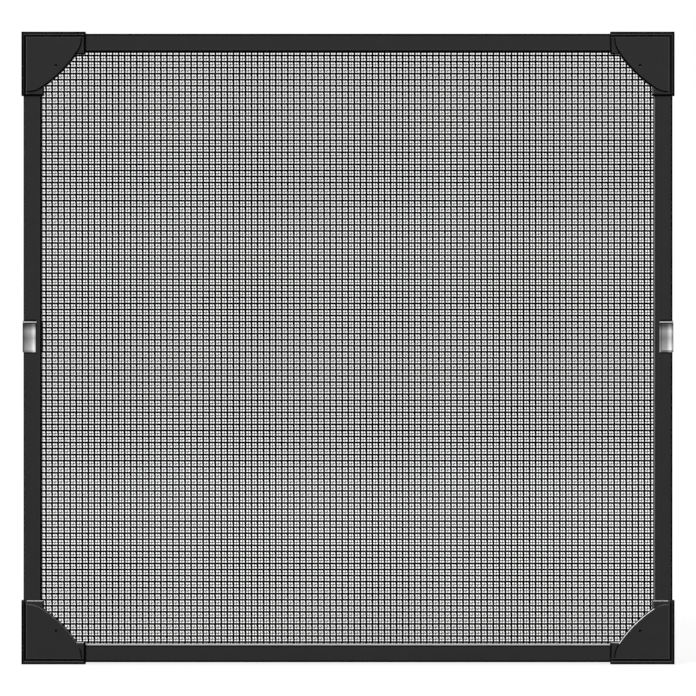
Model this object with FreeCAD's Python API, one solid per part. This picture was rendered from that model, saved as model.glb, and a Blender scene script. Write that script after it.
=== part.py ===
# Window screen frame: four extruded rails held in moulded corner pieces, a woven mesh pressed into
# the rails' rear grooves by a spline, and two folded hanger clips on the side rails.
# X is to the right, Z is up and the front faces -Y. Y = 0 is the rear plane that seats on the window.
import FreeCAD, Part
import math
import os

V = FreeCAD.Vector

# Whole frame, in millimetres
overall_width = 700.0
overall_height = 678.0

# Rails: one extruded section with a hollow chamber and a spline groove that opens to the rear
rail_width = 19.7
rail_depth = 9.0
rail_wall = 1.2
rail_outer_chamfer = 1.0
rail_rear_round = 0.8
rail_inner_chamfer = 1.8
rail_lip = 1.8
groove_width = 4.4
mesh_recess = 2.0  # the mesh rests this far in front of the seating plane
rail_end_gap = 0.3

# Corner bodies: sleeves over the rail ends, with spigots inside the rails
corner_arm = 68.5
sleeve_wall = 1.9
sleeve_front = 2.4
fit_clearance = 0.15
corner_chamfer = 0.9
spigot_length = 40.0
spigot_lead_in = 1.2
spigot_slot = 4.2
core_wall = 2.0
core_rib = 1.2
rim_width = 3.1
channel_width = 2.1
channel_depth = 1.2

# Corner covers: a raised plate with a slanting free edge, rounded at both ends, and a skirt along it
cover_span = 59.5
cover_side = 14.3
cover_round = 25.0
cover_thickness = 2.0
cover_chamfer = 0.9
skirt_wall = 1.8
skirt_gap = 1.0  # between the skirt and the mesh
peg_diameter = 4.8
peg_length = 4.0
peg_margin = 1.8
peg_edge = 0.9
dimple_diameter = 2.6
dimple_floor = 1.2
dimple_depth = 1.0
dimple_inset = 36.8

# Mesh: bands of ridges at the thread pitch in a thin wall, with open gaps between the bands
thread_pitch = 3.25
thread_width = 1.1
thread_crest = 0.55
thread_height = 0.55
mesh_wall = 0.4
mesh_clearance = 0.05
threads_per_band = 3
band_margin = 0.5
gap_columns = 11
gap_rows = 10
hem_thickness = 0.6
hem_depth = 4.0

# Spline
spline_clearance = 0.1
spline_height = 4.2
spline_round = 1.4
round_share = 0.45  # the most of the spline's width that one rounded edge takes

# Hanger clips: a pressed front pad, a web round the rail and a hook behind the seating plane
clip_height = 33.6
clip_rise_above_middle = 12.3
clip_sheet = 0.8
clip_clearance = 0.05
clip_reach = 13.9
clip_pad_rise = 1.0
clip_pad_slope = 2.1
clip_grip = 11.9
clip_lip = 10.0
clip_bend = 0.6

# How near a point has to be to count as on a plane
on_plane = 1e-6

# Sizes that follow
rail_offset = sleeve_wall + fit_clearance
sleeve_width = rail_width + 2 * rail_offset
body_front = rail_depth + fit_clearance + sleeve_front
cover_inset = rim_width + channel_width
groove_end = rail_width - rail_lip
groove_start = groove_end - groove_width
groove_floor = rail_depth - rail_wall
corner_groove_start = rail_offset + groove_start
corner_groove_end = rail_offset + groove_end
rail_start = sleeve_width + rail_end_gap
opening_width = overall_width - 2 * (rail_offset + rail_width)
opening_height = overall_height - 2 * (rail_offset + rail_width)
hem_outside = corner_groove_end - mesh_clearance - hem_thickness
spline_width = groove_width - hem_thickness - mesh_clearance - 2 * spline_clearance


# A box from two opposite corners, with depth counted from the seating plane towards the front
def block(x, depth, z):
    size = (x[1] - x[0], depth[1] - depth[0], z[1] - z[0])
    return Part.makeBox(*size, V(x[0], -depth[1], z[0]))


# A closed outline of straight sides whose corners are rounded by the radii given
def rounded_wire(points, radii):
    starts, ends, middles = [], [], []
    for i, (point, radius) in enumerate(zip(points, radii)):
        back = (points[i - 1] - point).normalize()
        ahead = (points[(i + 1) % len(points)] - point).normalize()
        half = back.getAngle(ahead) / 2
        along = radius / math.tan(half)
        inward = (back + ahead).normalize() if radius else V()
        starts.append(point + back * along)
        ends.append(point + ahead * along)
        middles.append(point + inward * (radius / math.sin(half) - radius))
    edges = []
    for i, radius in enumerate(radii):
        if radius:
            edges.append(Part.Arc(starts[i], middles[i], ends[i]).toShape())
        edges.append(Part.makeLine(ends[i], starts[(i + 1) % len(points)]))
    return Part.Wire(edges)


# A shape and its twin across the diagonal of a corner
def both_arms(shape):
    return [shape, shape.mirror(V(0, 0, 0), V(1, 0, -1))]


# Turns a piece built for the bottom or the bottom-left by quarter turns to its own side or corner
def placed(shape, quarter_turns, x, z):
    copy = shape.copy()
    copy.Placement = FreeCAD.Placement(V(x, 0, z), FreeCAD.Rotation(V(0, 1, 0), 90 * quarter_turns))
    return copy


# Edges that lie on every plane given, each an axis and the value of its coordinate
def edges_at(shape, *planes):
    return [e for e in shape.Edges
            if all(abs(v.Point[axis] - value) < on_plane for v in e.Vertexes for axis, value in planes)]


# A rail along X, with its outer edge on Z = 0
def rail(length):
    section = [(0, 0), (groove_start, 0), (groove_start, groove_floor), (groove_end, groove_floor),
               (groove_end, mesh_recess), (rail_width, mesh_recess),
               (rail_width, rail_depth - rail_inner_chamfer),
               (rail_width - rail_inner_chamfer, rail_depth), (rail_outer_chamfer, rail_depth),
               (0, rail_depth - rail_outer_chamfer)]
    radii = [rail_rear_round] + [0] * (len(section) - 1)
    wire = rounded_wire([V(-length / 2, -depth, across) for across, depth in section], radii)
    bar = Part.Face(wire).extrude(V(length, 0, 0))
    chamber = block((-length / 2, length / 2), (rail_wall, groove_floor),
                    (rail_wall, groove_start - rail_wall))
    return bar.cut(chamber)


# A length of spline along X, in the place it has in a rail's groove
def spline(length):
    low = groove_start + spline_clearance
    top = mesh_recess + spline_clearance
    corners = [(low, top), (low + spline_width, top), (low + spline_width, top + spline_height),
               (low, top + spline_height)]
    points = [V(-length / 2, -depth, across) for across, depth in corners]
    round_off = min(spline_round, round_share * spline_width)
    return Part.Face(rounded_wire(points, [round_off] * 4)).extrude(V(length, 0, 0))


# A spigot that goes into the chamber of the rail along X
def spigot():
    end = sleeve_width + spigot_length
    across = (rail_offset + rail_wall + fit_clearance,
              rail_offset + groove_start - rail_wall - fit_clearance)
    depth = (rail_wall + fit_clearance, groove_floor - fit_clearance)
    tongue = block((sleeve_width, end), depth, across)
    tongue = tongue.makeChamfer(spigot_lead_in, edges_at(tongue, (0, end)))
    middle = sum(across) / 2
    half_slot = spigot_slot / 2
    slot = block((sleeve_width + core_wall, end), (depth[0], sum(depth) / 2),
                 (middle - half_slot, middle + half_slot))
    return tongue.cut(slot)


# The moulded L at the bottom-left corner, with the frame's outer corner at the origin
def corner_body():
    outline = [(0, 0), (corner_arm, 0), (corner_arm, sleeve_width), (sleeve_width, sleeve_width),
               (sleeve_width, corner_arm), (0, corner_arm), (0, 0)]
    body = Part.Face(Part.makePolygon([V(x, 0, z) for x, z in outline])).extrude(V(0, -body_front, 0))
    body = body.makeChamfer(corner_chamfer, edges_at(body, (1, -body_front)))
    socket = block((sleeve_width, corner_arm), (0, rail_depth + fit_clearance),
                   (sleeve_wall, sleeve_width - sleeve_wall))
    mesh_way = block((sleeve_width, corner_arm), (0, mesh_recess), (sleeve_wall, sleeve_width))
    groove = block((corner_groove_start, sleeve_width), (0, groove_floor),
                   (corner_groove_start, corner_groove_end))
    mesh_seat = block((corner_groove_start, sleeve_width), (0, mesh_recess),
                      (corner_groove_start, sleeve_width))
    channel = block((rim_width, cover_inset + cover_span),
                    (body_front - channel_depth, body_front), (rim_width, cover_inset))
    hole = peg(fit_clearance)
    cuts = [mesh_seat]
    for shape in (socket, mesh_way, groove, channel, hole):
        cuts += both_arms(shape)
    body = body.cut(cuts + core_pockets())
    return body.fuse(both_arms(spigot())).removeSplitter()


# Four rear pockets that core out the corner block, with ribs between them
def core_pockets():
    low, high = sleeve_wall, corner_groove_start - core_wall
    side = (high - low - core_rib) / 2
    depth = (0, body_front - peg_length - fit_clearance - core_wall)
    spans = [(low, low + side), (high - side, high)]
    return [block(x, depth, z) for x in spans for z in spans]


# A locating peg of the cover, or with a clearance the hole that takes it
def peg(clearance):
    radius = peg_diameter / 2 + clearance
    far = sleeve_width - peg_diameter / 2 - peg_margin
    near = cover_inset + peg_diameter / 2 + peg_edge
    return Part.makeCylinder(radius, peg_length + clearance, V(far, -body_front, near), V(0, 1, 0))


# The cover's outline with its free edges set back by an inset, as a plate between two depths
def cover_plate(inset, depth):
    span = cover_span - inset
    side = cover_side - inset * (math.sqrt(2) - 1)
    corners = [(0, 0), (span, 0), (span, side), (side, span), (0, span)]
    radius = cover_round - inset
    points = [V(cover_inset + x, -depth[0], cover_inset + z) for x, z in corners]
    outline = rounded_wire(points, [0, 0, radius, radius, 0])
    return Part.Face(outline).extrude(V(0, depth[0] - depth[1], 0))


# The raised cover of the bottom-left corner
def corner_cover():
    front = body_front + cover_thickness
    plate = cover_plate(0, (body_front, front))
    plate = plate.makeChamfer(cover_chamfer, edges_at(plate, (1, -front)))
    depth = (mesh_recess + skirt_gap, body_front)
    skirt = cover_plate(0, depth).cut(cover_plate(skirt_wall, depth))
    clear = sleeve_width + fit_clearance
    skirt = skirt.common(block((clear, corner_arm), depth, (clear, corner_arm)))
    dimple = Part.makeCone(dimple_diameter / 2, dimple_floor / 2, dimple_depth,
                           V(dimple_inset, -front, dimple_inset), V(0, 1, 0))
    return plate.fuse([skirt] + both_arms(peg(0))).cut(dimple).removeSplitter()


# One thread ridge on the mesh wall, from its foot on the wall to its narrower crest
def ridge(position, half_length, foot, crest, upright):
    half, tip = thread_width / 2, thread_crest / 2
    section = [(-half, foot), (half, foot), (tip, crest), (-tip, crest), (-half, foot)]
    if upright:
        points = [V(position + side, -depth, -half_length) for side, depth in section]
        run = V(0, 0, 2 * half_length)
    else:
        points = [V(-half_length, -depth, position + side) for side, depth in section]
        run = V(2 * half_length, 0, 0)
    return Part.Face(Part.makePolygon(points)).extrude(run)


# Where the ridges of the bands between the gaps stand
def ridge_positions(opening, gaps):
    step = opening / gaps
    middles = [step * i - opening / 2 for i in range(1, gaps)]
    spread = [thread_pitch * (k - (threads_per_band - 1) / 2) for k in range(threads_per_band)]
    return [middle + offset for middle in middles for offset in spread]


# The mesh, with its hem turned forward into the rails' grooves
def mesh():
    half_x = overall_width / 2 - hem_outside
    half_z = overall_height / 2 - hem_outside
    crest = mesh_recess - mesh_clearance
    wall = (crest - thread_height - mesh_wall, crest - thread_height)
    band = (threads_per_band - 1) * thread_pitch + thread_width + 2 * band_margin
    steps = (opening_width / gap_columns, opening_height / gap_rows)
    sheet = block((-half_x, half_x), wall, (-half_z, half_z))
    gaps = []
    for i in range(gap_columns):
        for j in range(gap_rows):
            x = steps[0] * i - opening_width / 2 + band / 2
            z = steps[1] * j - opening_height / 2 + band / 2
            gaps.append(block((x, x + steps[0] - band), (0, mesh_recess), (z, z + steps[1] - band)))
    inner_x, inner_z = half_x - hem_thickness, half_z - hem_thickness
    hem_span = (wall[0], mesh_recess + hem_depth)
    hem = block((-half_x, half_x), hem_span, (-half_z, half_z))
    hem = hem.cut(block((-inner_x, inner_x), hem_span, (-inner_z, inner_z)))
    upright = [ridge(x, inner_z, wall[1], crest, True)
               for x in ridge_positions(opening_width, gap_columns)]
    level = [ridge(z, inner_x, wall[0], wall[0] - thread_height, False)
             for z in ridge_positions(opening_height, gap_rows)]
    return sheet.cut(gaps).fuse(upright + level + [hem]).removeSplitter()


# A folded sheet of constant thickness along a path of right-angled bends, across X and depth
def folded_strip(path, height):
    left, right, bends = [], [], []
    for i, (x, depth) in enumerate(path):
        before = V(x, -depth, 0) - V(path[i - 1][0], -path[i - 1][1], 0) if i else None
        after = None
        if i + 1 < len(path):
            after = V(path[i + 1][0], -path[i + 1][1], 0) - V(x, -depth, 0)
        sides = [V(-d.y, d.x, 0).normalize() for d in (before, after) if d is not None]
        out = sides[0] if len(sides) == 1 else sides[0] + sides[1]
        left.append(V(x, -depth, 0) + out * (clip_sheet / 2))
        right.append(V(x, -depth, 0) - out * (clip_sheet / 2))
        bends.append(before.cross(after).z if len(sides) == 2 else 0)
    wide, tight = clip_bend + clip_sheet, clip_bend
    left_radii = [0 if not turn else tight if turn > 0 else wide for turn in bends]
    right_radii = [0 if not turn else wide if turn > 0 else tight for turn in bends]
    wire = rounded_wire(left + right[::-1], left_radii + right_radii[::-1])
    strip = Part.Face(wire).extrude(V(0, 0, height))
    strip.translate(V(0, 0, -height / 2))
    return strip


# A pressed pad with three sloping sides and a rolled bend towards the web
def pad_form(inset, base, top):
    low = -clip_clearance - clip_sheet + inset
    high = clip_reach - inset
    half = clip_height / 2 - inset
    slope = clip_pad_slope
    form = Part.makeWedge(low, -top, slope - half, -half, low,
                          high - slope, -base, half - slope, half, high)
    return form.makeFillet(clip_bend + clip_sheet - inset, edges_at(form, (0, low), (1, -top)))


# The clip of the left rail, with the rail's outer edge on X = 0 and its own middle on Z = 0
def hanger_clip():
    seat = rail_depth + clip_clearance
    top = seat + clip_pad_rise + clip_sheet
    pad = pad_form(0, seat, top).cut(pad_form(clip_sheet, seat, top - clip_sheet))
    outside = -clip_clearance - clip_sheet / 2
    hook = -clip_clearance - clip_sheet - clip_grip - clip_sheet / 2
    inside = rail_width - clip_sheet / 2
    path = [(outside, seat), (outside, outside), (inside, outside), (inside, hook),
            (rail_width - clip_lip, hook)]
    return pad.fuse(folded_strip(path, clip_height)).removeSplitter()


# Every piece under its own name, turned from the bottom or the bottom-left to where it belongs
half_width = overall_width / 2
half_height = overall_height / 2
sides = {
    "bottom": (0, 0, rail_offset - half_height, overall_width),
    "left": (1, rail_offset - half_width, 0, overall_height),
    "top": (2, 0, half_height - rail_offset, overall_width),
    "right": (3, half_width - rail_offset, 0, overall_height),
}
corners = {
    "bottom_left": (0, -half_width, -half_height),
    "top_left": (1, -half_width, half_height),
    "top_right": (2, half_width, half_height),
    "bottom_right": (3, half_width, -half_height),
}
nodes = {"mesh": mesh()}
for name, (turns, x, z, run) in sides.items():
    nodes["rail_" + name] = placed(rail(run - 2 * rail_start), turns, x, z)
    end = corner_groove_start + spline_clearance
    if turns % 2:
        end += spline_width + spline_clearance
    nodes["spline_" + name] = placed(spline(run - 2 * end), turns, x, z)
for name, (turns, x, z) in corners.items():
    nodes["corner_body_" + name] = placed(corner_body(), turns, x, z)
    nodes["corner_cover_" + name] = placed(corner_cover(), turns, x, z)
for name, turns in (("left", 0), ("right", 2)):
    x = sides[name][1]
    nodes["hanger_clip_" + name] = placed(hanger_clip(), turns, x, clip_rise_above_middle)

os.makedirs("parts", exist_ok=True)
for name, shape in nodes.items():
    shape.exportStep("parts/" + name + ".step")
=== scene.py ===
"""Dresses the window screen frame: its rails, corner pieces, woven mesh, splines and hanger clips."""
import logging
import math
from collections.abc import Sequence
from dataclasses import dataclass, field
from enum import Enum
from typing import Any

import bmesh
import bpy
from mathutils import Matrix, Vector


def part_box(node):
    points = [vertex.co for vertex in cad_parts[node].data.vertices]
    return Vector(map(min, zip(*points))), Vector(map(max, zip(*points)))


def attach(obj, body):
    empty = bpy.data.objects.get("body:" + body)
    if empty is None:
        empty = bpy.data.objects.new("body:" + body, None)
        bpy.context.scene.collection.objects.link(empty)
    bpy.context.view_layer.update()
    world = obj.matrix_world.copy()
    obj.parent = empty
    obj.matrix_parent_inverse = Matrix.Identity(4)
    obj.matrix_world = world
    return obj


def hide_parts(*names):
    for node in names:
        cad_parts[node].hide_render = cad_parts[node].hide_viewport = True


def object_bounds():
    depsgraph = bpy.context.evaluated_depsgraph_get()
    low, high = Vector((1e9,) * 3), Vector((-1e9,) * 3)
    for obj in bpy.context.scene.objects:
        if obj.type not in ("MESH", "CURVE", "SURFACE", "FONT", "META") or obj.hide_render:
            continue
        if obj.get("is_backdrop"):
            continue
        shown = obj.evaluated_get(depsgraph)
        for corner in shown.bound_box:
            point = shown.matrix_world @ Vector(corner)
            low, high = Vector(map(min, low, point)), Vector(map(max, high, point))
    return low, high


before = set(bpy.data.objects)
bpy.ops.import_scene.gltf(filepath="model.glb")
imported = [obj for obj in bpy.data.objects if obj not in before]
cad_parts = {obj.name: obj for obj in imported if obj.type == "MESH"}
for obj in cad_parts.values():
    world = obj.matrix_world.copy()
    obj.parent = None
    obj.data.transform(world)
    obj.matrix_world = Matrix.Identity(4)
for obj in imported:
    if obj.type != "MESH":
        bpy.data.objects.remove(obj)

LOG = logging.getLogger("screen_frame")
MM = 0.001
ROOT = "root"

# The node that does sums, and the socket numbers of the colour mix node, whose sockets share names
MATH = "ShaderNodeMath"
MIX_A, MIX_B, MIX_RESULT = 6, 7, 2

# A step along both sides of a corner, as a length along its diagonal
DIAGONAL = math.sqrt(2)

# Length of a corner piece's arms along the rails
ARM = 68.5 * MM

# How far a painted line fades out on each side
SOFT_EDGE = 0.12 * MM

# How far a surface's roughness varies to each side, and how strongly its bumps show
ROUGHNESS_SPREAD = 0.07
BUMP_STRENGTH = 0.4

# Points of a mesh that lie nearer than this are one point
MERGE = 0.001 * MM

Object = bpy.types.Object
Material = bpy.types.Material
Tree = bpy.types.NodeTree
Node = bpy.types.Node
Socket = bpy.types.NodeSocket
Source = Node | Socket
Layers = list[tuple[Source, str]]
Point = tuple[float, float, float]
Colour = tuple[float, float, float, float]
Box = tuple[Vector, Vector]


class Side(Enum):
    """The sides of the frame: name, axes across and along the rail, and the end of the axis across."""

    TOP = ("top", "Z", "X", 1)
    BOTTOM = ("bottom", "Z", "X", -1)
    LEFT = ("left", "X", "Z", -1)
    RIGHT = ("right", "X", "Z", 1)

    def __init__(self, title: str, axis: str, along: str, sign: int) -> None:
        """Names a side's values.

        Args:
            title: The side's name as it stands in the node names.
            axis: The axis across its rail.
            along: The axis along its rail.
            sign: 1 where the side lies at the positive end of the axis across, or else -1.
        """
        self.title = title
        self.axis = axis
        self.along = along
        self.sign = sign


# The sides whose rails carry a clip
CLIP_SIDES = (Side.LEFT, Side.RIGHT)


class Corner(Enum):
    """The four corners of the frame, as they stand in the node names."""

    TOP_LEFT = "top_left"
    TOP_RIGHT = "top_right"
    BOTTOM_LEFT = "bottom_left"
    BOTTOM_RIGHT = "bottom_right"

    @property
    def signs(self) -> tuple[int, int]:
        """The signs of X and Z at this corner."""
        return (1 if "right" in self.value else -1, 1 if "top" in self.value else -1)


class Moulding(Enum):
    """The two mouldings of a corner, as they stand in the node names."""

    BODY = "body"
    COVER = "cover"


def linear(hex_code: str) -> Colour:
    """Turns an sRGB hex colour into linear values.

    Args:
        hex_code: The colour, such as "#2f2f2f".

    Returns:
        Red, green, blue and an alpha of 1, in linear light.
    """
    parts = [int(hex_code[i:i + 2], 16) / 255 for i in (1, 3, 5)]
    values = [c / 12.92 if c <= 0.04045 else ((c + 0.055) / 1.055) ** 2.4 for c in parts]
    return (values[0], values[1], values[2], 1.0)


def per_size(millimetres: float) -> float:
    """The texture scale that repeats about once in a length given in millimetres."""
    return 1.0 / (millimetres * MM)


def add(tree: Tree, kind: str, inputs: dict[Any, Any] | Sequence[Any] = (), **settings: Any) -> Node:
    """Adds a node, sets it up and links it.

    Args:
        tree: The tree that takes the node.
        kind: The node's type.
        inputs: Values, output sockets or nodes with one result for the inputs, by name or in order.
        **settings: Properties of the node itself.

    Returns:
        The new node.
    """
    node = tree.nodes.new(kind)
    for name, value in settings.items():
        setattr(node, name, value)
    for key, value in inputs.items() if isinstance(inputs, dict) else enumerate(inputs):
        if isinstance(value, Node):
            value = value.outputs[0]
        if isinstance(value, Socket):
            tree.links.new(value, node.inputs[key])
        else:
            node.inputs[key].default_value = value
    return node


def new_material(name: str) -> tuple[Material, Tree, Node]:
    """Makes an empty node material.

    Args:
        name: The name of the real material.

    Returns:
        The material, its tree and its texture coordinates.
    """
    material = bpy.data.materials.new(name)
    material.use_nodes = True
    tree = material.node_tree
    tree.nodes.clear()
    return material, tree, add(tree, "ShaderNodeTexCoord")


def new_object(name: str, data: bpy.types.ID) -> Object:
    """Puts a new object into the scene.

    Args:
        name: Its name.
        data: Its mesh, lamp or camera.

    Returns:
        The object, at the origin.
    """
    thing = bpy.data.objects.new(name, data)
    bpy.context.scene.collection.objects.link(thing)
    return thing


def dress(piece: Object, material: Material) -> None:
    """Gives a piece one material in place of those it came with.

    Args:
        piece: The piece to dress.
        material: Its new material.
    """
    piece.data.materials.clear()
    piece.data.materials.append(material)
    LOG.info("%s wears %s", piece.name, material.name)


@dataclass(frozen=True)
class Grain:
    """An uneven pattern: the size of its lumps in mm, and how much finer detail it has."""

    size: float
    detail: float
    roughness: float = 0.5

    def inputs(self, place: Source) -> dict[str, Any]:
        """Gives the inputs of the noise texture that makes the pattern.

        Args:
            place: What gives a point's coordinates.

        Returns:
            The inputs by name.
        """
        return {"Vector": place, "Scale": per_size(self.size), "Detail": self.detail,
                "Roughness": self.roughness}


def band(tree: Tree, value: Source, low: float, high: float, *masks: Source) -> Node:
    """Marks where a value lies between two limits, with soft ends.

    Args:
        tree: The material's tree.
        value: The value to test.
        low: The lower limit.
        high: The upper limit.
        *masks: Further masks that have to hold as well.

    Returns:
        A node that gives 1 inside the limits and 0 outside.
    """
    half = (high - low) / 2
    away = add(tree, MATH, [value, (low + high) / 2], operation="SUBTRACT")
    distance = add(tree, MATH, [away], operation="ABSOLUTE")
    inside = add(tree, "ShaderNodeMapRange", {
        "Value": distance, "From Min": half + SOFT_EDGE, "From Max": half - SOFT_EDGE})
    for mask in masks:
        inside = add(tree, MATH, [inside, mask], operation="MULTIPLY")
    return inside


@dataclass(frozen=True)
class Finish:
    """What all finishes have: how rough, shiny and metallic they are, and the height of their bumps."""

    roughness: float = 0.5
    specular: float = 0.5
    metallic: float = 0.0
    relief: float = 0.1 * MM

    def surface(self, tree: Tree, colour: Colour | Socket, layers: Layers, height: Source) -> None:
        """Ends a material's tree with a shader whose roughness and bump follow one pattern.

        Args:
            tree: The material's tree.
            colour: The base colour.
            layers: The mask and the hex tone of each layer that lies over it, from below.
            height: The pattern, from 0 to 1.
        """
        for mask, tone in layers:
            mix = add(tree, "ShaderNodeMix", {
                0: mask, MIX_A: colour, MIX_B: linear(tone)}, data_type="RGBA")
            colour = mix.outputs[MIX_RESULT]
        rough = add(tree, "ShaderNodeMapRange", {
            "Value": height, "To Min": self.roughness - ROUGHNESS_SPREAD,
            "To Max": self.roughness + ROUGHNESS_SPREAD})
        bump = add(tree, "ShaderNodeBump", {
            "Height": height, "Strength": BUMP_STRENGTH, "Distance": self.relief})
        shader = add(tree, "ShaderNodeBsdfPrincipled", {
            "Base Color": colour, "Roughness": rough, "Normal": bump, "Metallic": self.metallic,
            "Specular IOR Level": self.specular})
        add(tree, "ShaderNodeOutputMaterial", {"Surface": shader})


@dataclass(frozen=True)
class RailTrim:
    """Painted light and shade along a rail's two edges, and if it is shaded at both ends or the upper one.
    """

    # Width of the painted near-black outline, and painted highlight or shade tones on the inner chamfer
    outer_line: float = 2.0 * MM
    edge_width: float = 1.9 * MM
    gleam: str = "#010101"
    edge: str = "#010101"
    line: str = "#343434"
    both_ends: bool = True


@dataclass(frozen=True)
class PowderCoatedAluminium(Finish):
    """Extruded aluminium rail under a fine dark powder coat.

    The coat is matt, a little mottled, with a fine orange peel. A near-black outline is painted along most
    edges. The chamfer beside the mesh has a painted highlight on the two sides that face up and left and
    painted shade on the other two, and painted shadow lines lie where the corner pieces and the clip meet
    it.
    """

    coat: str = "#2d2d2d"
    coat_light: str = "#323232"
    # Painted near-black outline along the outer edge
    outline: str = "#010101"
    # Painted shadow where the corner pieces and the clip's pad meet the rail
    contact_shadow: str = "#030303"
    roughness: float = 0.55
    specular: float = 0.015
    gleam_width: float = 0.9 * MM
    line_width: float = 1.0 * MM
    edge_depth: float = 6.9 * MM
    contact_width: float = 1.3 * MM
    stop_width: float = 0.5 * MM
    mottle: Grain = Grain(14.0, 4.0, 0.6)
    peel: Grain = Grain(0.9, 2.0)
    relief: float = 0.04 * MM

    def material(self, side: Side, trim: RailTrim, reach: tuple[float, float], end: float,
                 pad: Box | None) -> Material:
        """Makes the coat for one rail.

        Args:
            side: The side of the frame.
            trim: How the coat shows along the edges.
            reach: Distances of the rail's inner and outer edge from the frame's middle.
            end: Distance of the corner pieces' arms from the middle of the rail.
            pad: The box of the clip's pad on this rail, above and below which a shadow line is painted on
                the coat.

        Returns:
            The material.
        """
        inner, outer = reach
        material, tree, coordinates = new_material("powder_coated_aluminium_" + side.title)
        place = coordinates.outputs["Object"]
        split = add(tree, "ShaderNodeSeparateXYZ", [place])
        across = add(tree, MATH, [split.outputs[side.axis]], operation="ABSOLUTE")
        front = add(tree, MATH, [split.outputs["Y"], -self.edge_depth], operation="LESS_THAN")
        mottle = add(tree, "ShaderNodeTexNoise", self.mottle.inputs(place))
        peel = add(tree, "ShaderNodeTexNoise", self.peel.inputs(place))
        edge = inner + trim.edge_width
        # Painted highlight or shade on the inner chamfer, a painted line beside it, and a painted outline
        layers = [(mottle, self.coat_light),
                  (band(tree, across, inner - MM, edge, front), trim.edge),
                  (band(tree, across, inner - MM, inner + self.gleam_width, front), trim.gleam),
                  (band(tree, across, edge, edge + self.line_width, front), trim.line),
                  (band(tree, across, outer - trim.outer_line, outer + MM, front), self.outline)]
        along = split.outputs[side.along]
        # Painted shadow on the rail where the corner pieces' arms end
        for stop in (-end, end) if trim.both_ends else (end,):
            shadow = band(tree, along, stop - self.stop_width, stop + self.stop_width, front)
            layers.append((shadow, self.contact_shadow))
        # Painted shadow lines on the rail above and below the clip's pad
        if pad:
            low, high = pad
            beside = band(tree, split.outputs["X"], low.x, high.x, front)
            for start in (low.z - self.contact_width, high.z):
                pad_shadow = band(tree, split.outputs["Z"], start, start + self.contact_width, beside)
                layers.append((pad_shadow, self.contact_shadow))
        self.surface(tree, linear(self.coat), layers, peel)
        return material


@dataclass(frozen=True)
class LitChamfer:
    """Chamfers that carry one painted highlight tone because of the way they face the light.

    The painted highlight goes from start to full as they face side. It is kept within inset of the
    upright sides, beyond a distance from all sides, and within a width of the free edge.
    """

    tone: str
    side: Point
    start: float
    full: float
    inset: float = math.inf
    beyond: float = 0.0
    width: float = math.inf


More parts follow.
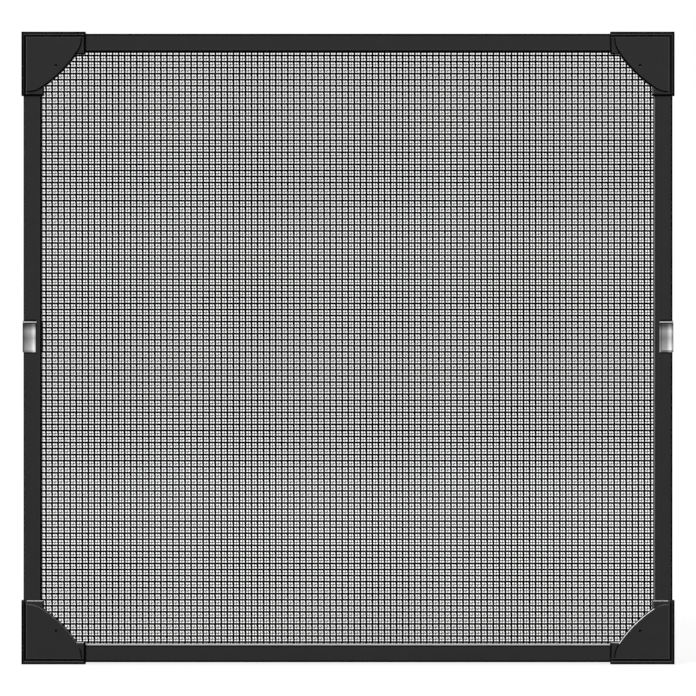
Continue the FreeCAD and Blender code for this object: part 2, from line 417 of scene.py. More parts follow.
@dataclass(frozen=True)
class MouldedNylon(Finish):
    """Glass-filled nylon, moulded in a lightly spark-textured tool.

    It has the same dark grey as the rails and a finer grain. Its chamfers are painted near black, as
    outlines and painted shade, apart from some of those that face up or to the left, which carry painted
    highlights. Stripes of painted light and shade follow its outer sides.
    """

    # body and body_light are the plastic's own tones; the others are painted outline, shade and highlight
    body: str = "#2d2d2d"
    body_light: str = "#323232"
    outline: str = "#010101"
    rim: str = "#202020"
    rim_light: str = "#4f4f4f"
    shade: str = "#0b0b0b"
    groove: str = "#010101"
    panel_light: str = "#393939"
    dimple_light: str = "#4c4c4c"
    roughness: float = 0.5
    specular: float = 0.012
    end_width: float = 1.6 * MM
    free_edge: float = 85.9 * MM
    free_bow: float = 135.0 * MM
    free_line: float = 1.25 * MM
    front_depth: float = 10.2 * MM
    dimple: float = 36.8 * MM
    dimple_radius: float = 1.25 * MM
    dimple_shade: tuple[float, float] = (0.5 * MM, -0.6 * MM)
    dimple_spot: tuple[float, float] = (-0.3 * MM, 0.8 * MM)
    dimple_spot_radius: float = 0.6 * MM
    slant: float = 0.62
    slant_range: float = 0.3
    mottle: Grain = Grain(9.0, 4.0, 0.6)
    grain: Grain = Grain(0.55, 3.0, 0.65)
    relief: float = 0.05 * MM

    def material(self, moulding: Moulding, lit_chamfers: tuple[LitChamfer, ...], half: Vector) -> Material:
        """Makes the plastic of the corner bodies or of the covers.

        Args:
            moulding: Which of the two mouldings it is for.
            lit_chamfers: Its chamfers with painted highlights.
            half: Half the frame's box.

        Returns:
            The material.
        """
        material, tree, coordinates = new_material("moulded_nylon_" + moulding.value)
        place = coordinates.outputs["Object"]
        split = add(tree, "ShaderNodeSeparateXYZ", [place])
        front = add(tree, MATH, [split.outputs["Y"], -self.front_depth], operation="LESS_THAN")
        mottle = add(tree, "ShaderNodeTexNoise", self.mottle.inputs(place))
        grain = add(tree, "ShaderNodeTexNoise", self.grain.inputs(place))
        insets = []
        for axis, size in (("X", half.x), ("Z", half.z)):
            reach = add(tree, MATH, [split.outputs[axis]], operation="ABSOLUTE")
            insets.append(add(tree, MATH, [size, reach], operation="SUBTRACT"))
        layers = [(mottle, self.body_light)]
        margin = self.free_margin(tree, insets)
        if moulding is Moulding.COVER:
            # A painted near-black shade line just inside the cover's free edge
            layers.append((band(tree, margin, -MM, self.free_line, front), self.outline))
        layers += self.painted_chamfer_tones(tree, coordinates.outputs["Normal"], insets, margin, lit_chamfers)
        layers += self.drawn_lines(tree, split, insets, half, front)
        if moulding is Moulding.COVER:
            layers += self.dimple_marks(tree, insets)
        self.surface(tree, linear(self.body), layers, grain)
        return material

    def painted_chamfer_tones(self, tree: Tree, facing: Socket, insets: list[Node], margin: Node,
                   lit_chamfers: tuple[LitChamfer, ...]) -> Layers:
        """Finds the chamfers, painted near black, with painted highlights on those that face the light.

        Args:
            tree: The material's tree.
            facing: The direction that the surface faces.
            insets: How far a point stands in from the upright and from the level sides.
            margin: How far it stands in from a cover's free edge.
            lit_chamfers: The chamfers with painted highlights.

        Returns:
            The masks and tones of all chamfers and of each painted highlight.
        """
        split = add(tree, "ShaderNodeSeparateXYZ", [facing])
        tilt = add(tree, MATH, [split.outputs["Y"]], operation="ABSOLUTE")
        slanted = add(tree, MATH, [tilt, self.slant, self.slant_range], operation="COMPARE")
        # All chamfers are painted near black first, as outlines and painted shade
        layers = [(slanted, self.outline)]
        nearest = add(tree, MATH, insets, operation="MINIMUM")
        for lit_chamfer in lit_chamfers:
            towards = add(tree, "ShaderNodeVectorMath", [facing, lit_chamfer.side], operation="DOT_PRODUCT")
            lit_share = add(tree, "ShaderNodeMapRange", {
                "Value": towards.outputs["Value"], "From Min": lit_chamfer.start, "From Max": lit_chamfer.full})
            mask = add(tree, MATH, [slanted, lit_share], operation="MULTIPLY")
            limits = ((insets[0], lit_chamfer.inset, "LESS_THAN"), (margin, lit_chamfer.width, "LESS_THAN"),
                      (nearest, lit_chamfer.beyond, "GREATER_THAN"))
            for value, limit, test in limits:
                if limit and math.isfinite(limit):
                    held = add(tree, MATH, [value, limit], operation=test)
                    mask = add(tree, MATH, [mask, held], operation="MULTIPLY")
            layers.append((mask, lit_chamfer.tone))
        return layers

    def stripes(self) -> dict[Side, list[tuple[float, str]]]:
        """Gives each outer side's stripes of painted light and shade: where each ends, in mm, and its
        tone.
        """
        # Each side has its own run of painted light and shade, as the light falls from the upper left
        return {
            Side.LEFT: [(1.73, self.outline), (2.8, self.rim), (4.94, self.shade), (6.01, self.rim_light)],
            Side.RIGHT: [(1.73, self.outline), (2.8, self.body), (3.87, self.rim), (4.94, self.groove),
                         (7.08, self.panel_light)],
            Side.TOP: [(1.45, self.outline), (2.52, self.shade), (3.59, self.rim_light),
                       (4.66, self.groove), (5.73, self.shade), (6.81, self.panel_light)],
            Side.BOTTOM: [(1.45, self.outline), (2.52, self.rim), (3.59, self.rim_light),
                          (4.66, self.shade), (5.73, self.groove), (7.0, self.panel_light)]}

    def drawn_lines(self, tree: Tree, split: Node, insets: list[Node], half: Vector,
                    front: Node) -> Layers:
        """Finds stripes of painted light and shade along the outer sides and at the ends of the arms.

        Args:
            tree: The material's tree.
            split: The node that gives a point's coordinates.
            insets: How far a point stands in from the upright and from the level sides.
            half: Half the frame's box.
            front: The mask of the front faces.

        Returns:
            The masks and tones of the lines.
        """
        layers = []
        for side, stripes in self.stripes().items():
            level = side.axis == "Z"
            size = half.z if level else half.x
            inset = add(tree, MATH, [split.outputs[side.axis], -side.sign, size], operation="MULTIPLY_ADD")
            nearer = add(tree, MATH, [inset, insets[0 if level else 1]], operation="LESS_THAN")
            start = -MM
            for reach, tone in stripes:
                layers.append((band(tree, inset, start, reach * MM, nearer, front), tone))
                start = reach * MM
        # Painted shade lines at the ends of the arms that face right or down
        for axis, stop in (("X", ARM - half.x), ("Z", half.z - ARM)):
            end = band(tree, split.outputs[axis], stop - self.end_width, stop + self.end_width, front)
            layers.append((end, self.outline))
        return layers

    def free_margin(self, tree: Tree, insets: list[Node]) -> Node:
        """Finds how far a point stands in from a cover's bowed free edge.

        Args:
            tree: The material's tree.
            insets: How far the point stands in from the upright and from the level sides.

        Returns:
            A node that gives the distance.
        """
        into = add(tree, MATH, insets, operation="ADD")
        aside = add(tree, MATH, insets, operation="SUBTRACT")
        square = add(tree, MATH, [aside, aside], operation="MULTIPLY")
        curve = DIAGONAL / (4 * self.free_bow)
        bowed = add(tree, MATH, [square, curve, into], operation="MULTIPLY_ADD")
        rest = add(tree, MATH, [self.free_edge, bowed], operation="SUBTRACT")
        return add(tree, MATH, [rest, DIAGONAL], operation="DIVIDE")

    def dimple_marks(self, tree: Tree, insets: list[Node]) -> Layers:
        """Finds the shade and the light of a cover's dimple.

        Args:
            tree: The material's tree.
            insets: How far a point stands in from the upright and from the level sides.

        Returns:
            The masks and tones of the marks.
        """
        layers = []
        place = add(tree, "ShaderNodeCombineXYZ", {"X": insets[0], "Y": insets[1]})
        for shift, radius, tone in ((self.dimple_shade, self.dimple_radius, self.groove),
                                    (self.dimple_spot, self.dimple_spot_radius, self.dimple_light)):
            middle = (self.dimple + shift[0], self.dimple + shift[1], 0.0)
            away = add(tree, "ShaderNodeVectorMath", [place, middle], operation="DISTANCE")
            layers.append((band(tree, away.outputs["Value"], -radius, radius), tone))
        return layers


@dataclass(frozen=True)
class CoatedPolyesterYarn(Finish):
    """Polyester yarn in a black vinyl skin, woven and then heat-set.

    The skin is matt and almost pure black, with a faint unevenness along each thread.
    """

    skin: str = "#020202"
    skin_light: str = "#080808"
    roughness: float = 0.6
    specular: float = 0.02
    lumps: Grain = Grain(1.6, 2.0)
    relief: float = 0.1 * MM

    def material(self) -> Material:
        """Makes the yarn's material."""
        material, tree, coordinates = new_material("coated_polyester_yarn")
        lumps = add(tree, "ShaderNodeTexNoise", self.lumps.inputs(coordinates.outputs["Object"]))
        self.surface(tree, linear(self.skin), [(lumps, self.skin_light)], lumps)
        return material


@dataclass(frozen=True)
class RibbedVinyl(Finish):
    """Soft black vinyl cord, drawn with fine rings that grip the groove.

    Each ring carries a faint painted highlight line, on an otherwise dull black cord.
    """

    cord: str = "#111111"
    ring_highlight: str = "#1e1e1e"
    roughness: float = 0.62
    specular: float = 0.2
    ring_spacing: float = 1.4
    relief: float = 0.2 * MM

    def material(self, side: Side) -> Material:
        """Makes the cord for one side.

        Args:
            side: The side of the frame, which says how the cord runs.

        Returns:
            The material.
        """
        material, tree, coordinates = new_material("ribbed_vinyl_" + side.title)
        wave_period = math.pi / 10
        rings = add(tree, "ShaderNodeTexWave", {
            "Vector": coordinates.outputs["Object"], "Scale": per_size(self.ring_spacing) * wave_period},
            bands_direction=side.along).outputs["Fac"]
        # The rings carry a faint painted highlight in the colour and shape the bump
        self.surface(tree, linear(self.cord), [(rings, self.ring_highlight)], rings)
        return material


@dataclass(frozen=True)
class SatinSpringSteel(Finish):
    """Stainless spring strip, brushed along its length and press-formed.

    Its reflections and highlights are painted into the base colour: each strip has its own run of painted
    reflection tones across it, in soft level clouds that the brushing breaks into upright streaks, with a
    painted highlight on its sloped top, a painted dark line along its top edge and painted shade in the
    fold below it.
    """

    # Painted highlight on the sloped top, painted dark line along the top edge, painted shade in the fold
    slope: str = "#b4b4b4"
    fold: str = "#101010"
    lip: str = "#050505"
    roughness: float = 0.34
    metallic: float = 1.0
    slope_height: float = 2.1 * MM
    fold_height: float = 1.1 * MM
    lip_height: float = 0.45 * MM
    # Painted reflection tones across each clip, and painted reflection levels up both clips
    reflection_tones_left: tuple[tuple[float, str], ...] = (
        (0.0, "#303030"), (0.17, "#7e7e7e"), (0.6, "#acacac"), (0.92, "#fafafa"), (0.95, "#505050"),
        (1.0, "#202020"))
    reflection_tones_right: tuple[tuple[float, str], ...] = (
        (0.0, "#c4c4c4"), (0.12, "#696969"), (0.5, "#757575"), (0.78, "#b4b4b4"), (0.92, "#7c7c7c"),
        (1.0, "#787878"))
    reflection_levels: tuple[tuple[float, float], ...] = (
        (0.0, 1.0), (0.2, 0.83), (0.45, 0.52), (0.67, 0.78), (0.85, 0.18), (1.0, 0.15))
    streaks: Grain = Grain(0.5, 3.0)
    streak_length: float = 12.0
    flicker: float = 0.14
    relief: float = 0.04 * MM

    def material(self, side: Side, low: Vector, high: Vector) -> Material:
        """Makes the steel of one clip.

        Args:
            side: The side of the frame.
            low: The lowest corner of its pad's box.
            high: The highest corner.

        Returns:
            The material.
        """
        material, tree, coordinates = new_material("satin_spring_steel_" + side.title)
        place = coordinates.outputs["Object"]
        split = add(tree, "ShaderNodeSeparateXYZ", [place])
        stretch = add(tree, "ShaderNodeMapping", {
            "Vector": place, "Scale": (1.0, 1.0, self.streaks.size / self.streak_length)})
        streaks = add(tree, "ShaderNodeTexNoise", self.streaks.inputs(stretch))
        # The painted reflections: tones across the clip times levels up it, broken by the streaks
        tones = self.reflection_tones_left if side is Side.LEFT else self.reflection_tones_right
        tones = [(share, linear(tone)) for share, tone in tones]
        clouds = [(share, (level, level, level, 1.0)) for share, level in self.reflection_levels]
        ramps = []
        for axis, stops in ((0, tones), (2, clouds)):
            across = add(tree, "ShaderNodeMapRange", {
                "Value": split.outputs[axis], "From Min": low[axis], "From Max": high[axis]})
            ramp = add(tree, "ShaderNodeValToRGB", [across])
            elements = ramp.color_ramp.elements
            elements[0].color, elements[1].color = stops[0][1], stops[-1][1]
            for share, tone in stops[1:-1]:
                elements.new(share).color = tone
            ramps.append(ramp)
        flicker = add(tree, "ShaderNodeMapRange", {
            "Value": streaks, "To Min": 1 - self.flicker, "To Max": 1 + self.flicker})
        shine = add(tree, MATH, [ramps[1], flicker], operation="MULTIPLY")
        lit = add(tree, "ShaderNodeMix", {
            0: 1.0, MIX_A: ramps[0], MIX_B: shine}, data_type="RGBA", blend_type="MULTIPLY")
        # Painted highlight on the sloped top, a painted dark line along the top edge, painted shade below
        fold, lip = high.z - self.slope_height, high.z - self.lip_height
        rows = [(fold, lip, self.slope), (lip, high.z + MM, self.lip),
                (fold - self.fold_height, fold, self.fold)]
        layers = [(band(tree, split.outputs["Z"], start, end), tone) for start, end, tone in rows]
        self.surface(tree, lit.outputs[MIX_RESULT], layers, streaks)
        return material


def clip_pad(side: Side) -> Box:
    """Finds the pad of one clip, which is its front, without the wider hook behind.

    Args:
        side: The side of the frame.

    Returns:
        The lowest and the highest corner of the pad's box.
    """
    pad_width = 14.75 * MM
    low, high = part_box("hanger_clip_" + side.title)
    if side is Side.LEFT:
        high.x = low.x + pad_width
    else:
        low.x = high.x - pad_width
    return low, high


@dataclass
class Rails:
    """The four extruded rails."""

    finish: PowderCoatedAluminium = field(default_factory=PowderCoatedAluminium)
    # The bottom and right rails get painted highlights on their inner chamfers, the others painted shade
    trims: tuple[tuple[Side, RailTrim], ...] = (
        (Side.TOP, RailTrim()),
        (Side.LEFT, RailTrim(outer_line=0.5 * MM, both_ends=False)),
        (Side.RIGHT, RailTrim(edge_width=1.1 * MM, gleam="#757575", edge="#757575", line="#202020",
                              both_ends=False)),
        (Side.BOTTOM, RailTrim(gleam="#d2d2d2", edge="#757575", line="#0a0a0a")))

    def build(self) -> None:
        """Dresses each rail by where its edges and its clip stand."""
        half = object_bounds()[1]
        for side, trim in self.trims:
            name = "rail_" + side.title
            inner, outer = sorted(abs(getattr(corner, side.axis.lower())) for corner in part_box(name))
            end = getattr(half, side.along.lower()) - ARM
            pad = clip_pad(side) if side in CLIP_SIDES else None
            dress(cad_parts[name], self.finish.material(side, trim, (inner, outer), end, pad))


@dataclass(frozen=True)
class FreeEdge:
    """The free edge of a cover, a bow between two rounded ends, seen from the frame's outer corner.

    The cover goes out to reach along both sides and to middle along the diagonal between them. The bow
    and the ends are given by their radii.
    """

    reach: float
    middle: float
    bow: float
    end: float

    def depth(self, aside: float) -> float:
        """Finds how far into the frame the edge lies.

        Args:
            aside: The distance from the corner's diagonal.

        Returns:
            The distance from the frame's outer corner, along the diagonal.
        """
        aside = abs(aside)
        centre = self.middle - self.bow
        inner = self.bow - self.end
        turn = math.pi / 4 - math.acos((self.reach - self.end - centre / DIAGONAL) / inner)
        # On the bow
        if aside < self.bow * math.sin(turn):
            return centre + math.sqrt(self.bow ** 2 - aside ** 2)
        # On a rounded end
        shift = inner * math.sin(turn)
        if aside < shift + self.end / DIAGONAL:
            return centre + inner * math.cos(turn) + math.sqrt(self.end ** 2 - (aside - shift) ** 2)
        # Where the cover stops on an arm
        return DIAGONAL * self.reach - aside


@dataclass
class CornerPieces:
    """The moulded corner bodies and the raised covers on them.

    A cover comes with a straight free edge, which is taken as a bow of a very large radius. The bend is
    whole within one width of the edge and fades out by the other.
    """

    finish: MouldedNylon = field(default_factory=MouldedNylon)
    # Painted highlights on the bodies' chamfers that face up, and on those near the upright sides that
    # face left
    body_lit_chamfers: tuple[LitChamfer, ...] = (
        LitChamfer("#b4b4b4", (0.0, 0.0, 1.0), 0.45, 0.68),
        LitChamfer("#707070", (-1.0, 0.0, 0.0), 0.45, 0.68, 30.0 * MM))
    # Painted highlights on the covers' chamfers that face up, up and right, and up and left by the free
    # edge
    cover_lit_chamfers: tuple[LitChamfer, ...] = (
        LitChamfer("#444444", (0.1, 0.0, 0.99), 0.35, 0.65),
        LitChamfer("#5a5a5a", (0.35, 0.0, 0.94), 0.55, 0.7),
        LitChamfer("#ffffff", (-0.71, 0.0, 0.71), 0.62, 0.67, beyond=22.0 * MM, width=0.65 * MM))
    straight_edge: float = 84.2 * MM
    straight_bow: float = 100.0
    end_radius: float = 25.0 * MM
    strip: float = 2.5 * MM
    bent_width: float = 3.0 * MM
    fade_width: float = 6.0 * MM

    def bowed_cover(self, corner: Corner, half: Vector) -> Object:
        """Copies a cover and bends its straight free edge into the moulding's gentle bow.

        Args:
            corner: The cover's corner.
            half: Half the frame's box.

        Returns:
            The bowed cover.
        """
        name = "corner_cover_" + corner.value
        sign_x, sign_z = corner.signs
        outer = Vector((sign_x * half.x, 0.0, sign_z * half.z))
        inward = Vector((-sign_x, 0.0, -sign_z)).normalized()
        sideways = Vector((-sign_x, 0.0, sign_z)).normalized()
        reach = half.x - min(abs(end.x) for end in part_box(name))
        straight = FreeEdge(reach, self.straight_edge / DIAGONAL, self.straight_bow, self.end_radius)
        bowed = FreeEdge(reach, self.finish.free_edge / DIAGONAL, self.finish.free_bow, self.end_radius)
        form = bmesh.new()
        form.from_mesh(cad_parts[name].data)
        bmesh.ops.remove_doubles(form, verts=form.verts, dist=MERGE)
        strips = int(reach / DIAGONAL / self.strip)
        for index in range(-strips, strips + 1):
            bmesh.ops.bisect_plane(
                form, geom=[*form.verts, *form.edges, *form.faces], dist=MERGE,
                plane_co=outer + sideways * index * self.strip, plane_no=sideways)
        for vertex in form.verts:
            place = vertex.co - outer
            edge = straight.depth(place.dot(sideways))
            behind = edge - place.dot(inward)
            share = (self.fade_width - behind) / (self.fade_width - self.bent_width)
            share = min(1.0, max(0.0, share))
            vertex.co += inward * share * (bowed.depth(place.dot(sideways)) - edge)
        bmesh.ops.triangulate(form, faces=form.faces)
        mesh = bpy.data.meshes.new("bowed_cover_" + corner.value)
        form.to_mesh(mesh)
        form.free()
        piece = new_object(mesh.name, mesh)
        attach(piece, ROOT)
        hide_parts(name)
        return piece

    def build(self) -> None:
        """Dresses each corner body and puts a bowed cover on it."""
        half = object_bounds()[1]
        body = self.finish.material(Moulding.BODY, self.body_lit_chamfers, half)
        cover = self.finish.material(Moulding.COVER, self.cover_lit_chamfers, half)
        for corner in Corner:
            dress(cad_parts["corner_body_" + corner.value], body)
            dress(self.bowed_cover(corner, half), cover)


@dataclass
class Splines:
    """The cords that hold the mesh in the rails' grooves."""

    finish: RibbedVinyl = field(default_factory=RibbedVinyl)

    def build(self) -> None:
        """Dresses the cord of each side."""
        for side in Side:
            dress(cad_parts["spline_" + side.title], self.finish.material(side))


@dataclass
class HangerClips:
    """The two folded clips on the side rails."""

    finish: SatinSpringSteel = field(default_factory=SatinSpringSteel)

    def build(self) -> None:
        """Dresses both clips."""
        for side in CLIP_SIDES:
            steel = self.finish.material(side, *clip_pad(side))
            dress(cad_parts["hanger_clip_" + side.title], steel)


# The measures of one thread
THREAD_SIZES = ("Crossing Spacing", "Crossing Shift", "Wave", "Reach", "Hem", "Width", "Thickness")


def new_group(name: str, **inputs: tuple[str, ...]) -> tuple[Tree, dict[str, Socket]]:
    """Makes an empty geometry tree with named inputs.

    Args:
        name: The tree's name.
        **inputs: The names of its inputs by their type.

    Returns:
        The tree and the sockets that give its inputs' values, by name.
    """
    tree = bpy.data.node_groups.new(name, "GeometryNodeTree")
    for kind, titles in inputs.items():
        for title in titles:
            tree.interface.new_socket(title, in_out="INPUT", socket_type="NodeSocket" + kind)
    tree.interface.new_socket("Geometry", in_out="OUTPUT", socket_type="NodeSocketGeometry")
    source = add(tree, "NodeGroupInput")
    return tree, {socket.name: socket for socket in source.outputs if socket.name}


def thread_tree() -> Tree:
    """Makes the tree of one thread along X, bent round every crossing and turned in at its hems."""
    tree, given = new_group("woven thread", Int=("Crossings", "Phase"), Float=THREAD_SIZES)
    hem_rings = 4.0
    rings = add(tree, MATH, [given["Crossings"], hem_rings], operation="ADD")
    line = add(tree, "GeometryNodeMeshLine", {"Count": rings})
    index = add(tree, "GeometryNodeInputIndex")
    half_gaps = add(tree, MATH, [rings, 0.5, -0.5], operation="MULTIPLY_ADD")
    steps = add(tree, MATH, [index, half_gaps], operation="SUBTRACT")
    from_middle = add(tree, MATH, [steps], operation="ABSOLUTE")
    half_crossings = add(tree, MATH, [given["Crossings"], 0.5], operation="MULTIPLY")
    in_hem = add(tree, MATH, [from_middle, half_crossings], operation="GREATER_THAN")
    before_tip = add(tree, MATH, [half_gaps, 0.5], operation="SUBTRACT")
    at_tip = add(tree, MATH, [from_middle, before_tip], operation="GREATER_THAN")
    run = add(tree, MATH, [steps, given["Crossing Spacing"], given["Crossing Shift"]],
              operation="MULTIPLY_ADD")
    end = add(tree, MATH, [steps], operation="SIGN")
    fold = add(tree, MATH, [end, given["Reach"]], operation="MULTIPLY")
    along = add(tree, "GeometryNodeSwitch", [in_hem, run, fold], input_type="FLOAT")
    turn = add(tree, MATH, [index, given["Phase"]], operation="ADD")
    odd = add(tree, MATH, [turn, 2.0], operation="FLOORED_MODULO")
    sign = add(tree, MATH, [odd, 2.0, -1.0], operation="MULTIPLY_ADD")
    swing = add(tree, MATH, [sign, given["Wave"]], operation="MULTIPLY")
    woven = add(tree, MATH, [1.0, in_hem], operation="SUBTRACT")
    bent = add(tree, MATH, [swing, woven], operation="MULTIPLY")
    tucked = add(tree, MATH, [at_tip, given["Hem"]], operation="MULTIPLY")
    offset = add(tree, MATH, [bent, tucked], operation="SUBTRACT")
    place = add(tree, "ShaderNodeCombineXYZ", {"X": along, "Y": offset})
    route = add(tree, "GeometryNodeSetPosition", {"Geometry": line, "Position": place})
    path = add(tree, "GeometryNodeMeshToCurve", [route])
    half_width = add(tree, MATH, [given["Width"], 0.5], operation="MULTIPLY")
    profile = add(tree, "GeometryNodeCurvePrimitiveQuadrilateral", {
        "Width": given["Thickness"], "Bottom Height": half_width, "Top Height": half_width}, mode="KITE")
    tube = add(tree, "GeometryNodeCurveToMesh", {
        "Curve": path, "Profile Curve": profile, "Fill Caps": True})
    add(tree, "NodeGroupOutput", [tube])
    return tree


def family_tree(thread: Tree) -> Tree:
    """Makes the tree of a family of threads side by side along Z.

    Args:
        thread: The tree of one thread.

    Returns:
        The family's tree.
    """
    tree, given = new_group(
        "thread family", Int=("Threads", "Crossings"), Float=("Spacing", "Shift", *THREAD_SIZES))
    gaps = add(tree, MATH, [given["Threads"], 1.0], operation="SUBTRACT")
    span = add(tree, MATH, [gaps, given["Spacing"]], operation="MULTIPLY")
    first = add(tree, MATH, [span, -0.5, given["Shift"]], operation="MULTIPLY_ADD")
    start = add(tree, "ShaderNodeCombineXYZ", {"Z": first})
    step = add(tree, "ShaderNodeCombineXYZ", {"Z": given["Spacing"]})
    points = add(tree, "GeometryNodeMeshLine", {
        "Count": given["Threads"], "Start Location": start, "Offset": step})
    both = add(tree, "GeometryNodeJoinGeometry")
    sizes = {title: given[title] for title in ("Crossings", *THREAD_SIZES)}
    for phase in (0, 1):
        one = add(tree, "GeometryNodeGroup", {**sizes, "Phase": phase}, node_tree=thread)
        single = add(tree, "GeometryNodeGeometryToInstance", [one])
        tree.links.new(single.outputs[0], both.inputs[0])
    index = add(tree, "GeometryNodeInputIndex")
    turn = add(tree, MATH, [index, 2.0], operation="FLOORED_MODULO")
    spread = add(tree, "GeometryNodeInstanceOnPoints", {
        "Points": points, "Instance": both, "Pick Instance": True, "Instance Index": turn})
    add(tree, "NodeGroupOutput", [spread])
    return tree


def weave_tree() -> Tree:
    """Makes the tree of the whole weave, from four families of threads."""
    family = family_tree(thread_tree())
    sizes = [f"{title} {size}" for title in ("Upright", "Level")
             for size in ("Spacing", "Shift", "Width", "Fine Shift", "Fine Width")]
    tree, given = new_group("screen weave", Int=("Upright Threads", "Level Threads"), Float=(
        *sizes, "Heavy Thickness", "Fine Thickness", "Wave", "Hem", "Reach X", "Reach Z", "Depth"),
        Material=("Yarn",))
    cloth = add(tree, "GeometryNodeJoinGeometry")
    for mine, other, reach, upright in (("Level", "Upright", "Reach X", False),
                                        ("Upright", "Level", "Reach Z", True)):
        fine_count = add(tree, MATH, [given[mine + " Threads"], 1.0], operation="ADD")
        turned = -1.0 if upright else 1.0
        turned_shift = add(tree, MATH, [given[other + " Shift"], turned], operation="MULTIPLY")
        heavy = {"Threads": given[mine + " Threads"], "Crossings": given[other + " Threads"],
                 "Crossing Spacing": given[other + " Spacing"], "Crossing Shift": turned_shift,
                 "Shift": given[mine + " Shift"], "Wave": given["Wave"],
                 "Width": given[mine + " Width"], "Thickness": given["Heavy Thickness"]}
        fine = {"Threads": fine_count, "Crossings": 2, "Crossing Spacing": given[reach],
                "Shift": given[mine + " Fine Shift"], "Width": given[mine + " Fine Width"],
                "Thickness": given["Fine Thickness"]}
        shared = {"Spacing": given[mine + " Spacing"], "Reach": given[reach], "Hem": given["Hem"]}
        for own in (heavy, fine):
            threads = add(tree, "GeometryNodeGroup", {**own, **shared}, node_tree=family)
            layer = add(tree, "GeometryNodeTransform", {
                "Geometry": threads, "Rotation": (0.0, math.pi / 2 if upright else 0.0, 0.0)})
            tree.links.new(layer.outputs[0], cloth.inputs[0])
    back = add(tree, MATH, [given["Depth"], -1.0], operation="MULTIPLY")
    shift = add(tree, "ShaderNodeCombineXYZ", {"Y": back})
    seated = add(tree, "GeometryNodeTransform", {"Geometry": cloth, "Translation": shift})
    whole = add(tree, "GeometryNodeRealizeInstances", [seated])
    yarn = add(tree, "GeometryNodeSetMaterial", {"Geometry": whole, "Material": given["Yarn"]})
    add(tree, "NodeGroupOutput", [yarn])
    return tree


def knot_tree() -> Tree:
    """Makes the tree of a knot at every crossing of the threads, as a low pyramid of four sides."""
    tree, given = new_group(
        "thread knots", Int=("Columns", "Rows"), Float=("Column Spacing", "Row Spacing"),
        Vector=("Middle", "Size", "Turn"), Material=("Yarn",))
    spans = []
    for title in ("Column", "Row"):
        gaps = add(tree, MATH, [given[title + "s"], 1.0], operation="SUBTRACT")
        spans.append(add(tree, MATH, [gaps, given[title + " Spacing"]], operation="MULTIPLY"))
    grid = add(tree, "GeometryNodeMeshGrid", {
        "Size X": spans[0], "Size Y": spans[1], "Vertices X": given["Columns"],
        "Vertices Y": given["Rows"]})
    raised = add(tree, "GeometryNodeTransform", {
        "Geometry": grid, "Translation": given["Middle"], "Rotation": (math.pi / 2, 0.0, 0.0)})
    lump = add(tree, "GeometryNodeMeshCone", {
        "Vertices": 4, "Radius Top": 0.0, "Radius Bottom": 1.0, "Depth": 1.0})
    turn = add(tree, "FunctionNodeEulerToRotation", [given["Turn"]])
    spread = add(tree, "GeometryNodeInstanceOnPoints", {
        "Points": raised, "Instance": lump, "Rotation": turn, "Scale": given["Size"]})
    whole = add(tree, "GeometryNodeRealizeInstances", [spread])
    yarn = add(tree, "GeometryNodeSetMaterial", {"Geometry": whole, "Material": given["Yarn"]})
    add(tree, "NodeGroupOutput", [yarn])
    return tree


def woven(name: str, tree: Tree, values: dict[str, Any]) -> Object:
    """Runs a geometry tree and keeps the result as a plain mesh on the frame.

    Args:
        name: The name of the piece.
        tree: The tree that makes it.
        values: The values of the tree's inputs by name.

    Returns:
        The piece.
    """
    loom = new_object("loom", bpy.data.meshes.new("loom"))
    modifier = loom.modifiers.new("weave", "NODES")
    modifier.node_group = tree
    for item in tree.interface.items_tree:
        if item.in_out == "INPUT":
            modifier[item.identifier] = values[item.name]
    graph = bpy.context.evaluated_depsgraph_get()
    mesh = bpy.data.meshes.new_from_object(loom.evaluated_get(graph))
    loom.modifiers.remove(modifier)
    bpy.data.objects.remove(loom)
    mesh.shade_smooth()
    piece = new_object(name, mesh)
    dress(piece, values["Yarn"])
    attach(piece, ROOT)
    LOG.info("%s has %d faces", piece.name, len(mesh.polygons))
    return piece


@dataclass(frozen=True)
class Threads:
    """The threads that run one way: how many heavy ones, and where and how wide both kinds are."""

    count: int
    spacing: float
    shift: float
    width: float
    fine_shift: float
    fine_width: float

    def values(self, title: str) -> dict[str, float]:
        """Gives the values of the weave's inputs for these threads.

        Args:
            title: How they are called in the names of the inputs.

        Returns:
            The value of each input by its name.
        """
        return {f"{title} Threads": self.count, f"{title} Spacing": self.spacing,
                f"{title} Shift": self.shift, f"{title} Width": self.width,
                f"{title} Fine Shift": self.fine_shift, f"{title} Fine Width": self.fine_width}


@dataclass(frozen=True)
class Knot:
    """A lump of yarn beside every crossing of one kind: where it is, its half sizes and its lean."""

    name: str
    fine_upright: bool
    fine_level: bool
    place: tuple[float, float]
    size: Point
    lean: float = 0.0


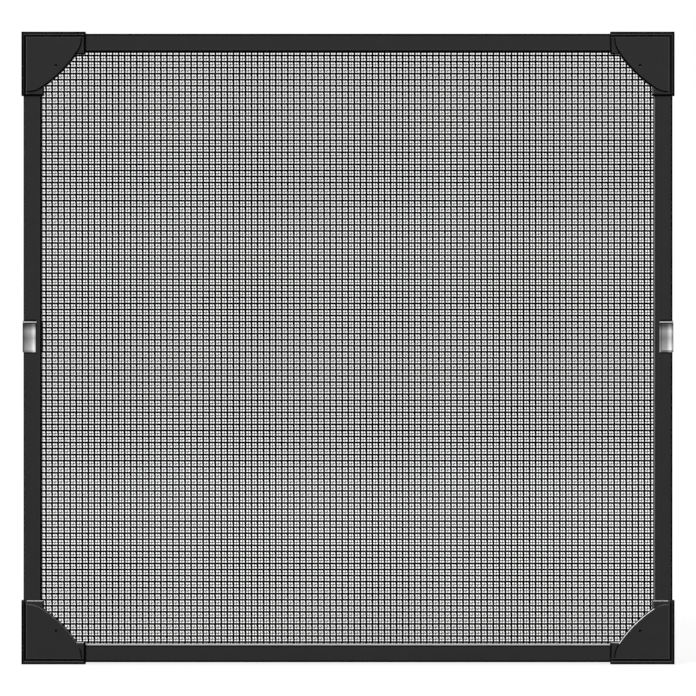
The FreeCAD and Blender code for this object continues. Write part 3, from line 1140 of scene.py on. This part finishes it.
@dataclass
class Weave:
    """The woven mesh: heavy threads over and under each other, with fine threads between them."""

    finish: CoatedPolyesterYarn = field(default_factory=CoatedPolyesterYarn)
    upright: Threads = Threads(101, 6.492 * MM, 0.36 * MM, 1.78 * MM, 0.19 * MM, 0.6 * MM)
    level: Threads = Threads(98, 6.495 * MM, -0.85 * MM, 1.98 * MM, -1.07 * MM, 0.74 * MM)
    knots: tuple[Knot, ...] = (
        Knot("heavy_knots", False, False, (-0.88 * MM, -1.2 * MM), (0.62 * MM, 2.4 * MM, 0.5 * MM)),
        Knot("fine_knots", True, True, (0.1 * MM, 0.0), (0.7 * MM, 1.7 * MM, 0.5 * MM), math.radians(45)),
        Knot("upright_knots", True, False, (0.0, -0.9 * MM), (0.7 * MM, 1.0 * MM, 0.5 * MM)),
        Knot("level_knots", False, True, (0.75 * MM, 0.0), (0.7 * MM, 1.2 * MM, 0.5 * MM)))
    heavy_thickness: float = 0.72 * MM
    fine_thickness: float = 0.5 * MM
    wave: float = 0.36 * MM
    hem: float = 4.5 * MM
    hem_half: float = 0.3 * MM
    middle_depth: float = 1.2 * MM

    def tied(self, knot: Knot, tree: Tree, yarn: Material) -> Object:
        """Ties the knots at one kind of crossing.

        Args:
            knot: Which crossings they sit at, and their form.
            tree: The tree that makes them.
            yarn: Their material.

        Returns:
            The piece that holds them all.
        """
        counts, middle = [], []
        for threads, fine, place in ((self.upright, knot.fine_upright, knot.place[0]),
                                     (self.level, knot.fine_level, knot.place[1])):
            counts.append(threads.count - 1 if fine else threads.count)
            middle.append(place + (threads.fine_shift if fine else threads.shift))
        return woven(knot.name, tree, {
            "Columns": counts[0], "Rows": counts[1], "Column Spacing": self.upright.spacing,
            "Row Spacing": self.level.spacing, "Middle": (middle[0], -self.middle_depth, middle[1]),
            "Size": knot.size, "Turn": (math.pi / 2, knot.lean, 0.0), "Yarn": yarn})

    def build(self) -> None:
        """Weaves the mesh, makes it a plain mesh and seats it in the frame."""
        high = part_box("mesh")[1]
        reach_x, reach_z = high.x - self.hem_half, high.z - self.hem_half
        yarn = self.finish.material()
        piece = woven("woven_mesh", weave_tree(), {
            **self.upright.values("Upright"), **self.level.values("Level"),
            "Heavy Thickness": self.heavy_thickness, "Fine Thickness": self.fine_thickness,
            "Wave": self.wave, "Hem": self.hem, "Reach X": reach_x, "Reach Z": reach_z,
            "Depth": self.middle_depth, "Yarn": yarn})
        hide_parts("mesh")
        lumps = knot_tree()
        knots = [self.tied(knot, lumps, yarn) for knot in self.knots]


def white_to_the_eye(tree: Tree) -> Node:
    """Adds the test for rays that see the white surroundings.

    Args:
        tree: The tree of the floor or the world.

    Returns:
        A node that gives 1 for camera, glossy and transmission rays.
    """
    path = add(tree, "ShaderNodeLightPath")
    first = add(tree, MATH, [path.outputs["Is Camera Ray"], path.outputs["Is Glossy Ray"]],
                operation="MAXIMUM")
    return add(tree, MATH, [first, path.outputs["Is Transmission Ray"]], operation="MAXIMUM")


@dataclass(frozen=True)
class SoftBox:
    """A square lamp that faces the frame's middle: its name, place, side and power in watts."""

    name: str
    place: Point
    size: float
    watts: float

    def hang(self) -> None:
        """Hangs the lamp in the scene."""
        lamp = bpy.data.lights.new(self.name, "AREA")
        lamp.size = self.size
        lamp.energy = self.watts
        holder = new_object(self.name, lamp)
        holder.location = self.place
        holder.rotation_euler = (-Vector(self.place)).to_track_quat("-Z", "Y").to_euler()


@dataclass
class Studio:
    """The white studio: floor, surroundings, lamps and the camera in front."""

    camera_distance: float = 4.0
    frame_width: float = 745.85 * MM
    face_depth: float = 10.65 * MM
    sensor: float = 36.0
    floor_size: float = 60.0
    floor_gap: float = 0.5 * MM
    ambient: float = 0.36
    floor_glow: float = 0.8
    far_glow: float = 0.9
    floor_colour: str = "#9c9c9c"
    shadow_reach: float = 0.6
    white_from: float = 2.5
    lamps: tuple[SoftBox, ...] = (
        SoftBox("key_upper_left", (-4.2, -6.4, 5.4), 4.2, 440.0),
        SoftBox("front_fill", (2.2, -5.5, 0.9), 3.5, 150.0))

    def make_world(self) -> None:
        """Makes surroundings that are white to the eye and light the object softly."""
        world = bpy.data.worlds.new("white_studio")
        bpy.context.scene.world = world
        world.use_nodes = True
        tree = world.node_tree
        tree.nodes.clear()
        level = add(tree, "ShaderNodeMapRange", {
            "Value": white_to_the_eye(tree), "To Min": self.ambient, "To Max": 1.0})
        light = add(tree, "ShaderNodeBackground", {"Color": (1.0, 1.0, 1.0, 1.0), "Strength": level})
        add(tree, "ShaderNodeOutputWorld", {"Surface": light})

    def make_floor(self, height: float) -> None:
        """Makes the pale floor under the frame, which keeps a soft shadow.

        Args:
            height: Where the frame's lowest edge stands.
        """
        half = self.floor_size / 2
        corners = [(-half, -half), (half, -half), (half, half), (-half, half)]
        mesh = bpy.data.meshes.new("floor")
        mesh.from_pydata([(x, y, height - self.floor_gap) for x, y in corners], [], [(0, 1, 2, 3)])
        floor = new_object("floor", mesh)
        material, tree, coordinates = new_material("pale_studio_floor")
        paint = add(tree, "ShaderNodeBsdfDiffuse", {"Color": linear(self.floor_colour)})
        away = add(tree, "ShaderNodeVectorMath", [coordinates.outputs["Object"]], operation="LENGTH")
        glare = add(tree, "ShaderNodeMapRange", {
            "Value": away.outputs["Value"], "From Min": self.shadow_reach, "From Max": self.white_from,
            "To Min": self.floor_glow, "To Max": self.far_glow})
        level = add(tree, MATH, [white_to_the_eye(tree), glare], operation="MULTIPLY")
        glow = add(tree, "ShaderNodeEmission", {"Strength": level})
        both = add(tree, "ShaderNodeAddShader", [paint, glow])
        add(tree, "ShaderNodeOutputMaterial", {"Surface": both})
        mesh.materials.append(material)
        floor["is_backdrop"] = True

    def make_camera(self) -> None:
        """Sets the camera straight in front, framed on the faces of the corner pieces."""
        camera = bpy.data.cameras.new("camera")
        camera.sensor_width = self.sensor
        camera.lens = self.sensor * self.camera_distance / self.frame_width
        holder = new_object("camera", camera)
        holder.location = (0.0, -self.face_depth - self.camera_distance, 0.0)
        holder.rotation_euler = (math.pi / 2, 0.0, 0.0)
        bpy.context.scene.camera = holder

    def build(self) -> None:
        """Sets up the whole studio round the frame."""
        bpy.context.scene.view_settings.view_transform = "Standard"
        self.make_world()
        self.make_floor(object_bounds()[0].z)
        for lamp in self.lamps:
            lamp.hang()
        self.make_camera()


def main() -> None:
    """Builds every sub-assembly in order."""
    logging.basicConfig(level=logging.INFO, format="%(message)s")
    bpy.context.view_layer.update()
    for part in (Rails(), CornerPieces(), Splines(), HangerClips(), Weave(), Studio()):
        part.build()
        LOG.info("%s done", type(part).__name__)


if __name__ == "__main__":
    main()
